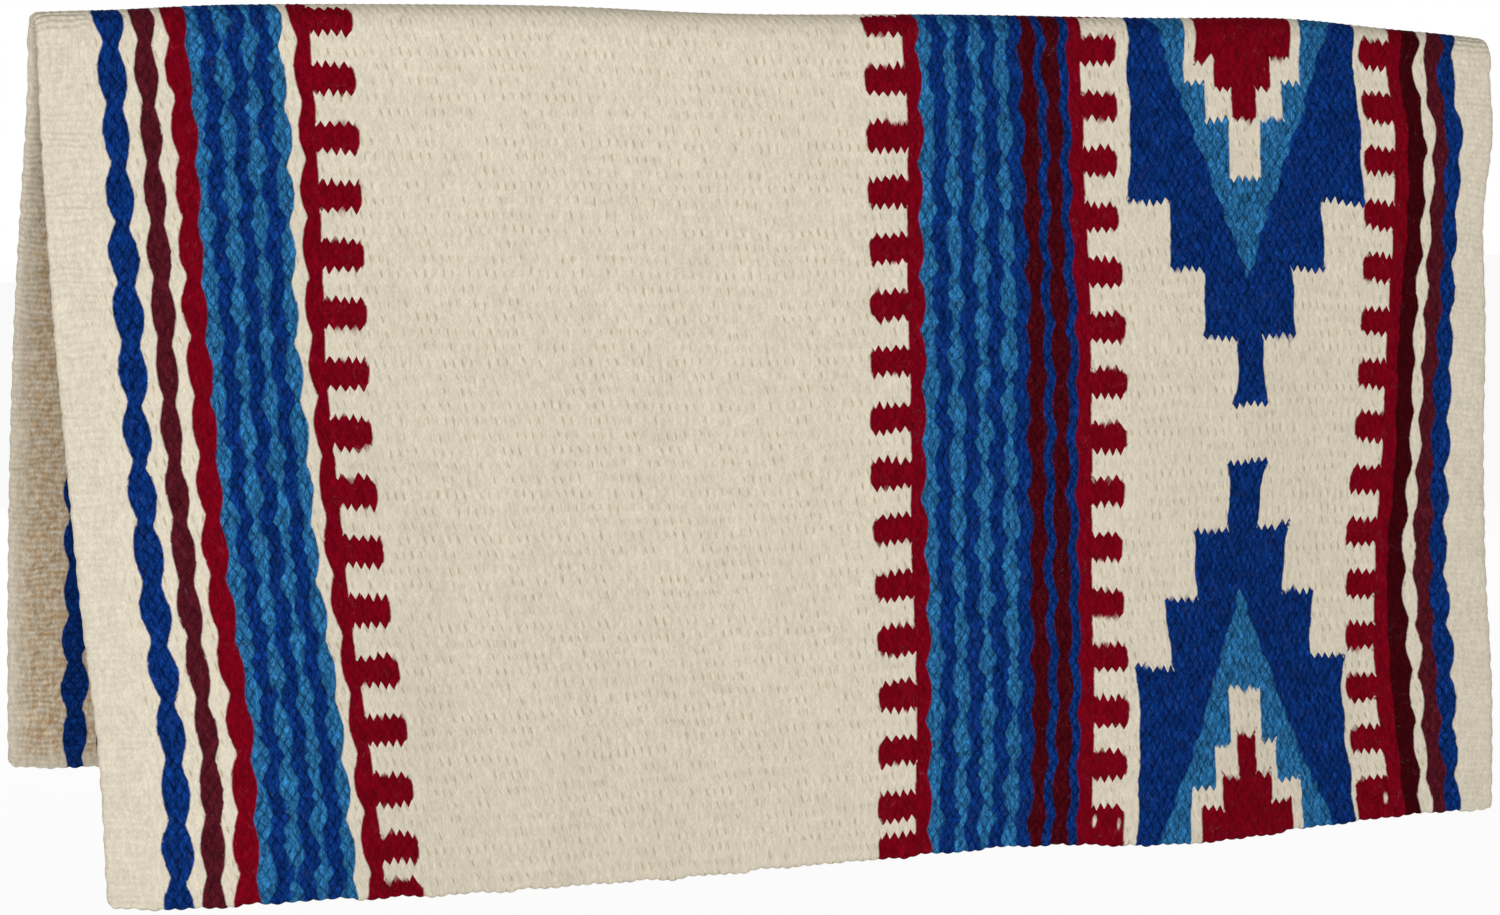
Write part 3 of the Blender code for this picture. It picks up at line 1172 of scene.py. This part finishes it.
    def loose_bits(self, tree: Tree, colour: Socket, dyed: Socket, place: Socket) -> Socket:
        """Adds stray pale hairs on the dyed yarn and a few dark specks of chaff.

        Args:
            tree: The material's node tree.
            colour: The colour of the yarn.
            dyed: How much of the yarn is dyed.
            place: Where the point is on the flat cloth, in millimetres.

        Returns:
            The colour with hairs and specks.
        """
        curl = self.blotches(tree, place, self.hair_size_mm, detail=2.0)
        curl = add_node(tree, "Math", curl, NOISE_MIDDLE, operation="SUBTRACT")
        inputs = {"Vector": place, "Scale": 1 / self.speck_pitch_mm}
        line, here, speck = (
            add_node(tree, "MapRange", value, *limits, **EASED)
            for value, limits in (
                (add_node(tree, "Math", curl, operation="ABSOLUTE"), self.hair_range),
                (self.blotches(tree, place, self.hair_patch_mm), self.hair_patch_range),
                (add_node(tree, "TexVoronoi", inputs, out="Distance"), self.speck_range),
            )
        )
        hair = add_node(tree, "Math", line, here, operation="MULTIPLY")
        hair = add_node(tree, "Math", hair, dyed, operation="MULTIPLY")
        for share, bit in ((hair, self.hair_colour), (speck, self.speck_colour)):
            inputs = {MIX_SHARE: share, MIX_UNDER: colour, MIX_OVER: linear_colour(bit)}
            colour = add_node(tree, "Mix", inputs, out=MIX_RESULT, data_type="RGBA")
        return colour

    def relief(
        self, tree: Tree, lift: Socket, fibres: Socket, shade_and_relief: Socket, rib: Socket
    ) -> Socket:
        """Raises each loop and its fibres, most in the yarn with deeper painted shade, and the
        ribs.

        Args:
            tree: The material's node tree.
            lift: The loops' lift.
            fibres: The noise that draws the fibres.
            shade_and_relief: How deep the yarn's painted crease shade and bump are, from 0 for
                clean cream to 1
            for dyed yarn.
            rib: The height of the ribs.

        Returns:
            The bumped normal.
        """
        share = add_node(tree, "MapRange", shade_and_relief, *self.relief_range, **EASED)
        crown = add_node(tree, "Math", lift, operation="SQRT")
        crown = add_node(tree, "Math", crown, self.crown_middle, operation="SUBTRACT")
        height = add_node(tree, "Math", crown, share, operation="MULTIPLY")
        for part, size in ((fibres, self.fibre_relief_share), (rib, self.rib_relief_share)):
            height = add_node(tree, "Math", part, size, height, operation="MULTIPLY_ADD")
        inputs = {
            "Strength": self.relief_strength,
            "Distance": self.relief_mm * MM,
            "Height": height,
        }
        return add_node(tree, "Bump", inputs)


@dataclass
class WovenHalf:
    """One half of the blanket, from the crest of the fold to its hem, as closed cloth."""

    side: Side
    drape: Drape
    draft: WeaveDraft
    finish: bpy.types.Material
    # The mesh's columns and rows, and its finer steps by an edge
    columns: int = 692
    bend_rows: int = 26
    bend_mm: float = 32.0
    row_step_mm: float = 2.5
    side_steps_mm: tuple = (0.25, 0.7)
    hem_steps_mm: tuple = (0.0, 0.25, 0.8, 1.6, 2.5)
    # How round the corners and the edges are
    corner_mm: float = 6.0
    edge_round_mm: float = 3.4
    # Each wave of the scallops: how often it turns for a row, its phase and its size
    scallop_waves: tuple = ((2.0, 0.4, 1.0), (3.3, 0.0, 0.7))
    scallop_mm: float = 0.6
    scallop_reach_mm: float = 10.0
    # The hem's waves and its loops, and how far up they reach
    hem_wave_mm: float = 0.5
    hem_lengths_mm: tuple = (14.0, 40.0)
    hem_seed: int = 31
    hem_loop_share: float = 1.4
    hem_loop_drop_mm: float = 0.4
    hem_reach_mm: float = 6.0
    # The cockles, and how far from the crest they are full
    cockle_mm: float = 0.44
    cockle_lengths_mm: tuple = (28.0, 98.0)
    cockle_seed: int = 11
    cockle_from_mm: float = 40.0
    # The ribs between columns of loops, and between rows of weft by a selvage
    rib_mm: float = 0.1
    edge_rib_mm: float = 0.5
    edge_rib_reach_mm: float = 22.0
    # How far the loops stand out, and how much more by the crest
    mean_lift: float = 0.4
    loop_mm: float = 0.27
    crest_loop_mm: float = 0.4
    crest_reach_mm: float = 14.0
    # How far from an edge the inner face fully takes its painted tan shade and ribs
    inner_shade_from_mm: float = 14.0
    sharp_degrees: float = 60.0
    chart_margin: float = 0.006
    # Two heights on the fold's bend, handed on with the half's placement but not used
    bend_top: float = -0.0125
    bend_end: float = -0.036
    obj: bpy.types.Object | None = field(default=None, init=False)

    @property
    def name(self) -> str:
        """The piece's name."""
        return f"{self.side.name.lower()}_half_cloth"

    @property
    def flap(self) -> str:
        """The body that this half's flap rides on."""
        return f"{self.side.name.lower()}_flap"

    def stations(self) -> tuple[Array, Array]:
        """Places the mesh's columns and rows, closer together where the cloth turns.

        Returns:
            Distances across and distances down, in millimetres, each an even count of steps.
        """
        width, drop = self.drape.width / MM, self.drape.drop / MM
        side = np.array(self.side_steps_mm)
        across = np.linspace(0, width, self.columns + 1)
        across = np.concatenate([across, side, width - side])
        hem = drop - np.array(self.hem_steps_mm)
        bend = np.linspace(0, self.bend_mm, self.bend_rows + 1)
        rows = 2 * round((hem[-1] - self.bend_mm) / self.row_step_mm / 2)
        flap = np.linspace(self.bend_mm, hem[-1], rows + 1)
        down = np.concatenate([bend, flap[1:-1], hem])
        return np.sort(across), np.sort(down)

    def outline(self, across: Array, down: Array) -> tuple[Array, Array, Array]:
        """Rounds the corners and scallops the edges of the flat cloth.

        Args:
            across: Distances from the left selvage, by column.
            down: Distances from the crest, by row.

        Returns:
            For each point, how far it moves across and down, and how near an edge it is.
        """
        width, drop = across[-1], down[-1]
        left, right = across[:, None] + 0 * down[None, :], width - across[:, None] + 0 * down
        low = drop - down[None, :] + 0 * across[:, None]
        shift_across, shift_down = np.zeros_like(left), np.zeros_like(left)
        for aside, sign in ((left, 1), (right, -1)):
            by_side = np.clip(self.corner_mm - aside, 0, None)
            by_hem = np.clip(self.corner_mm - low, 0, None)
            reach = np.hypot(by_side, by_hem)
            shrink = 1 - np.maximum(by_side, by_hem) / np.where(reach > 0, reach, 1)
            shift_across += sign * by_side * shrink
            shift_down -= by_hem * shrink
        turns = math.pi * down / self.draft.row_pitch
        waves = [
            size * np.abs(np.sin(often * turns + phase))
            for often, phase, size in self.scallop_waves
        ]
        near_left, near_right = (np.exp(-edge / self.scallop_reach_mm) for edge in (left, right))
        shift_across += self.scallop_mm * (sum(waves) - 1)[None, :] * (near_right - near_left)
        loop_width = self.hem_loop_share * self.draft.loop_width
        loops = np.abs(np.sin(math.pi * across / loop_width)) - self.hem_loop_drop_mm
        hem = ripples(self.hem_seed, self.hem_lengths_mm, across, 0 * across)
        hem = self.hem_wave_mm * hem + loops
        shift_down += hem[:, None] * np.exp(-low / self.hem_reach_mm)
        return shift_across, shift_down, np.minimum(np.minimum(left, right), low)

    def cockles(self, across: Array, down: Array) -> Array:
        """Finds how far beating and long use have pushed the cloth out of its smooth hang.

        Args:
            across: Distances from the left selvage, by column.
            down: Signed distances from the crest, by row.

        Returns:
            The push, in millimetres, by column and row.
        """
        push = ripples(self.cockle_seed, self.cockle_lengths_mm, across[:, None], down[None, :])
        columns = np.cos(2 * math.pi * across / self.draft.loop_width)
        rows = np.sin(2 * math.pi * down / self.draft.loop_length)
        sides = (across, across[-1] - across)
        edge = sum(np.exp(-side / self.edge_rib_reach_mm) for side in sides)
        ribs = self.rib_mm * ((1 - edge) * columns)[:, None]
        return self.cockle_mm * push + ribs + self.edge_rib_mm * edge[:, None] * rows[None, :]

    def faces(self) -> tuple[Array, ...]:
        """Places both faces of the cloth.

        Returns:
            The outer points, the inner points, the distances across and down in
            millimetres of each point, and how far it is from an edge, by column and row.
        """
        across, down = self.stations()
        move_across, move_down, rim = self.outline(across, down)
        outer = self.drape.outer_face(self.side, across * MM, down * MM)
        tangent_across = np.gradient(outer, across * MM, axis=0)
        tangent_down = np.gradient(outer, down * MM, axis=1)
        normal = np.cross(tangent_down, tangent_across)
        normal /= np.linalg.norm(normal, axis=-1, keepdims=True)
        normal *= np.sign(normal[:, -1:, 1:2] * self.side.value)
        outer = outer + MM * (
            tangent_across * move_across[..., None] + tangent_down * move_down[..., None]
        )
        half = self.drape.thickness / 2
        reach = np.clip(1 - rim / self.edge_round_mm, 0, 1)
        full = np.sqrt(1 - reach**2)
        middle = outer - normal * half
        fade = np.clip(down / self.cockle_from_mm, 0, 1)[None, :] * full
        signed = -self.side.value * down
        push = self.cockles(across, signed) * fade
        loops = self.draft.lift(across[:, None], signed[None, :]) - self.mean_lift
        plump = self.loop_mm + self.crest_loop_mm * np.exp(-down / self.crest_reach_mm)
        middle += normal * MM * (push + plump[None, :] * loops * full)[..., None]
        outer = middle + normal * half * full[..., None]
        inner = middle - normal * half * full[..., None]
        grid = np.broadcast_arrays(across[:, None], down[None, :])
        return outer, inner, grid[0], grid[1], rim

    def polygons(self, columns: int, rows: int) -> tuple[list, Array]:
        """Joins the outer face and a coarser inner face into one closed skin.

        Args:
            columns: How many columns of points the outer face has.
            rows: How many rows of points the outer face has.

        Returns:
            The polygons, and for each inner point the column and row that it lies under.
        """
        front = np.arange(columns * rows).reshape(columns, rows)
        back = np.full((columns, rows), -1)
        inside = np.zeros((columns, rows), bool)
        inside[2:-2:2, 0:-2:2] = True
        back[inside] = columns * rows + np.arange(inside.sum())
        for edge in ((0, slice(None)), (-1, slice(None)), (slice(None), -1)):
            back[edge] = front[edge]
        ring = [front[:-1, :-1], front[:-1, 1:], front[1:, 1:], front[1:, :-1]]
        skin = np.stack(ring, axis=-1).reshape(-1, 4).tolist()
        for left in range(0, columns - 1, 2):
            right = left + 2
            for top in range(0, rows - 1, 2):
                low = top + 2
                ring = [back[left, top], back[right, top], back[right, low], back[left, low]]
                if right == columns - 1:
                    ring.insert(2, back[right, top + 1])
                if low == rows - 1:
                    ring.insert(-1, back[left + 1, low])
                if left == 0:
                    ring.append(back[left, top + 1])
                skin.append([int(v) for v in ring])
            cap = [*front[left : right + 1, 0], back[right, 0], back[left, 0]]
            skin.append([int(v) for v in dict.fromkeys(cap)])
        if self.side is Side.OFF:
            skin = [ring[::-1] for ring in skin]
        return skin, np.argwhere(inside)

    def build(self) -> None:
        """Makes the half's mesh, with the weave's attributes and a neat unwrapping."""
        outer, inner, across, down, rim = self.faces()
        columns, rows = across.shape
        skin, under = self.polygons(columns, rows)
        place = (under[:, 0], under[:, 1])
        points = np.concatenate([outer.reshape(-1, 3), inner[place]])
        across = np.concatenate([across.ravel(), across[place]])
        down = np.concatenate([down.ravel(), down[place]])
        mesh = bpy.data.meshes.new(self.name)
        mesh.from_pydata(points.tolist(), [], skin)
        mesh.materials.append(self.finish)
        mesh.shade_smooth()
        mesh.set_sharp_from_angle(angle=math.radians(self.sharp_degrees))
        signed = -self.side.value * down
        weave = mesh.attributes.new("weave", "FLOAT_VECTOR", "POINT")
        # The inner face, away from its edges, takes the painted tan shade and the ribs
        inner_face = np.zeros_like(across)
        inner_face[columns * rows :] = np.clip(rim[place] / self.inner_shade_from_mm, 0, 1)
        values = np.stack([*self.draft.hand_laid(across, signed), inner_face], axis=-1)
        weave.data.foreach_set("vector", values.astype(np.float32).ravel())
        for yarn, border in self.draft.borders(across, signed).items():
            attribute = mesh.attributes.new(yarn.cover, "FLOAT_VECTOR", "POINT")
            attribute.data.foreach_set("vector", border.astype(np.float32).ravel())
        self.unwrap(mesh, across, down, columns * rows)
        self.obj = bpy.data.objects.new(self.name, mesh)
        bpy.context.scene.collection.objects.link(self.obj)

    def unwrap(
        self, mesh: bpy.types.Mesh, across: Array, down: Array, outer_count: int
    ) -> None:
        """Lays the outer face over the upper half of the chart and the inner over the lower.

        Args:
            mesh: The half's mesh.
            across: Distances from the left selvage, by point.
            down: Distances from the crest, by point.
            outer_count: How many of the points are on the outer face.
        """
        margin, half = self.chart_margin, 0.5
        corners = np.zeros(len(mesh.loops), np.int32)
        mesh.loops.foreach_get("vertex_index", corners)
        totals = np.zeros(len(mesh.polygons), np.int32)
        mesh.polygons.foreach_get("loop_total", totals)
        starts = np.concatenate([[0], np.cumsum(totals)[:-1]])
        on_back = np.logical_or.reduceat(corners >= outer_count, starts)
        on_back = np.repeat(on_back, totals)
        u = margin + (1 - 2 * margin) * across[corners] / across.max()
        v = margin + (half - 2 * margin) * (1 - down[corners] / down.max())
        chart = mesh.uv_layers.new(name="OFBake")
        flat = np.stack([u, np.where(on_back, v, v + half)], axis=-1)
        chart.data.foreach_set("uv", flat.astype(np.float32).ravel())

    def attach(self) -> None:
        """Bakes the half's placement into its mesh, and hides the solids that it stands for."""
        y = self.side.value * self.drape.outer_radius
        start, end = (0.0, y, self.bend_top), (0.0, y, self.bend_end)
        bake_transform(self.obj, "fold", self.flap, start=start, end=end)
        prefix = f"{self.side.name.lower()}_"
        nodes = [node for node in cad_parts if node.startswith((prefix, "fold_"))]
        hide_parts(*nodes)
        LOG.info("%s: %d faces", self.name, len(self.obj.data.polygons))


@dataclass
class Studio:
    """A plain pale floor, soft lamps, and a camera at the photograph's angle."""

    # Where the camera stands, and its turns in degrees
    camera_place: tuple = (-0.6993, -1.8590, -0.0290)
    camera_yaw: float = 19.666
    camera_pitch: float = -6.214
    camera_roll: float = 0.056
    lens_mm: float = 84.16
    sensor_mm: float = 36.0
    sees_to: float = 60.0
    floor_height: float = -0.66
    floor_half: float = 9.0
    floor_colour: str = "#F2F2F2"
    floor_white_share: float = 0.93
    sky_colour: str = "#FFF8EE"
    sky_strength: float = 0.28
    white: tuple = (1.0, 1.0, 1.0, 1.0)
    # Each lamp's name, place, side and watts
    lamps: tuple = (
        ("key_lamp", (-0.6, -3.0, 0.2), 1.8, 49.0),
        ("fill_lamp", (-2.7, -1.5, 0.0), 2.2, 21.5),
        ("back_lamp", (0.5, 2.9, 0.6), 2.2, 47.0),
    )
    lamps_aim: tuple = (0.0, 0.0, -0.25)

    def build(self) -> None:
        """Makes the floor, the light and the camera."""
        self.make_floor()
        self.make_world()
        for lamp in self.lamps:
            self.make_lamp(*lamp)
        self.make_camera()

    def make_floor(self) -> None:
        """Makes a white floor that keeps a soft shadow."""
        mesh = bpy.data.meshes.new("studio_floor")
        half, height = self.floor_half, self.floor_height
        corners = [(-half, -half, height), (half, -half, height), (half, half, height)]
        mesh.from_pydata([*corners, (-half, half, height)], [], [(0, 1, 2, 3)])
        floor = bpy.data.objects.new("studio_floor", mesh)
        bpy.context.scene.collection.objects.link(floor)
        material = bpy.data.materials.new("white_paper_sweep")
        material.use_nodes = True
        tree = material.node_tree
        tree.nodes.clear()
        paper = add_node(tree, "BsdfDiffuse", {"Color": linear_colour(self.floor_colour)})
        white = add_node(tree, "Emission", {"Color": self.white, "Strength": 1.0})
        inputs = (self.seen_directly(tree), self.floor_white_share)
        share = add_node(tree, "Math", *inputs, operation="MULTIPLY")
        both = add_node(tree, "MixShader", share, paper, white)
        add_node(tree, "OutputMaterial", {"Surface": both})
        mesh.materials.append(material)

    def seen_directly(self, tree: Tree) -> Socket:
        """Adds what is 1 for rays from the camera, a mirror or glass, and 0 for light.

        Args:
            tree: The node tree to add to.

        Returns:
            The share of white to show.
        """
        ray = add_node(tree, "LightPath").node.outputs
        inputs = (ray["Is Camera Ray"], ray["Is Glossy Ray"])
        seen = add_node(tree, "Math", *inputs, operation="MAXIMUM")
        return add_node(tree, "Math", seen, ray["Is Transmission Ray"], operation="MAXIMUM")

    def make_world(self) -> None:
        """Makes the world white to look at, and a soft grey for its light."""
        world = bpy.data.worlds.new("studio_world")
        bpy.context.scene.world = world
        world.use_nodes = True
        tree = world.node_tree
        tree.nodes.clear()
        inputs = {"Color": linear_colour(self.sky_colour), "Strength": self.sky_strength}
        light = add_node(tree, "Background", inputs)
        white = add_node(tree, "Background", {"Color": self.white, "Strength": 1.0})
        both = add_node(tree, "MixShader", self.seen_directly(tree), light, white)
        add_node(tree, "OutputWorld", {"Surface": both})

    def make_lamp(self, name: str, place: tuple, size: float, power: float) -> None:
        """Hangs one soft square lamp that faces the blanket.

        Args:
            name: The lamp's name.
            place: Where it hangs.
            size: The length of its side.
            power: Its power in watts.
        """
        data = bpy.data.lights.new(name, "AREA")
        data.shape, data.size, data.energy = "SQUARE", size, power
        lamp = bpy.data.objects.new(name, data)
        lamp.location = place
        aim = Vector(self.lamps_aim) - Vector(place)
        lamp.rotation_mode = "QUATERNION"
        lamp.rotation_quaternion = aim.to_track_quat("-Z", "Y")
        bpy.context.scene.collection.objects.link(lamp)

    def make_camera(self) -> None:
        """Sets the camera where the photograph was taken from."""
        yaw, pitch, roll = (
            math.radians(angle) for angle in (self.camera_yaw, self.camera_pitch, self.camera_roll)
        )
        level = math.cos(pitch)
        forward = Vector((math.sin(yaw) * level, math.cos(yaw) * level, math.sin(pitch)))
        right = Vector((math.cos(yaw), -math.sin(yaw), 0.0))
        up = right.cross(forward)
        tilted = right * math.cos(roll) + up * math.sin(roll)
        upright = up * math.cos(roll) - right * math.sin(roll)
        turn = Matrix((tilted, upright, -forward)).transposed()
        data = bpy.data.cameras.new("camera")
        data.lens, data.sensor_width, data.clip_end = self.lens_mm, self.sensor_mm, self.sees_to
        camera = bpy.data.objects.new("camera", data)
        camera.matrix_world = Matrix.Translation(self.camera_place) @ turn.to_4x4()
        bpy.context.scene.collection.objects.link(camera)
        bpy.context.scene.camera = camera


def main() -> None:
    """Builds the cloth and the studio, in order."""
    logging.basicConfig(level=logging.INFO, format="%(message)s")
    bpy.context.scene.view_settings.view_transform = "Standard"
    finish = HandWovenWool().build()
    for side in Side:
        half = WovenHalf(side, Drape(), WeaveDraft(), finish)
        half.build()
        half.attach()
    Studio().build()
    LOG.info("studio: floor, lamps and camera")


if __name__ == "__main__":
    main()
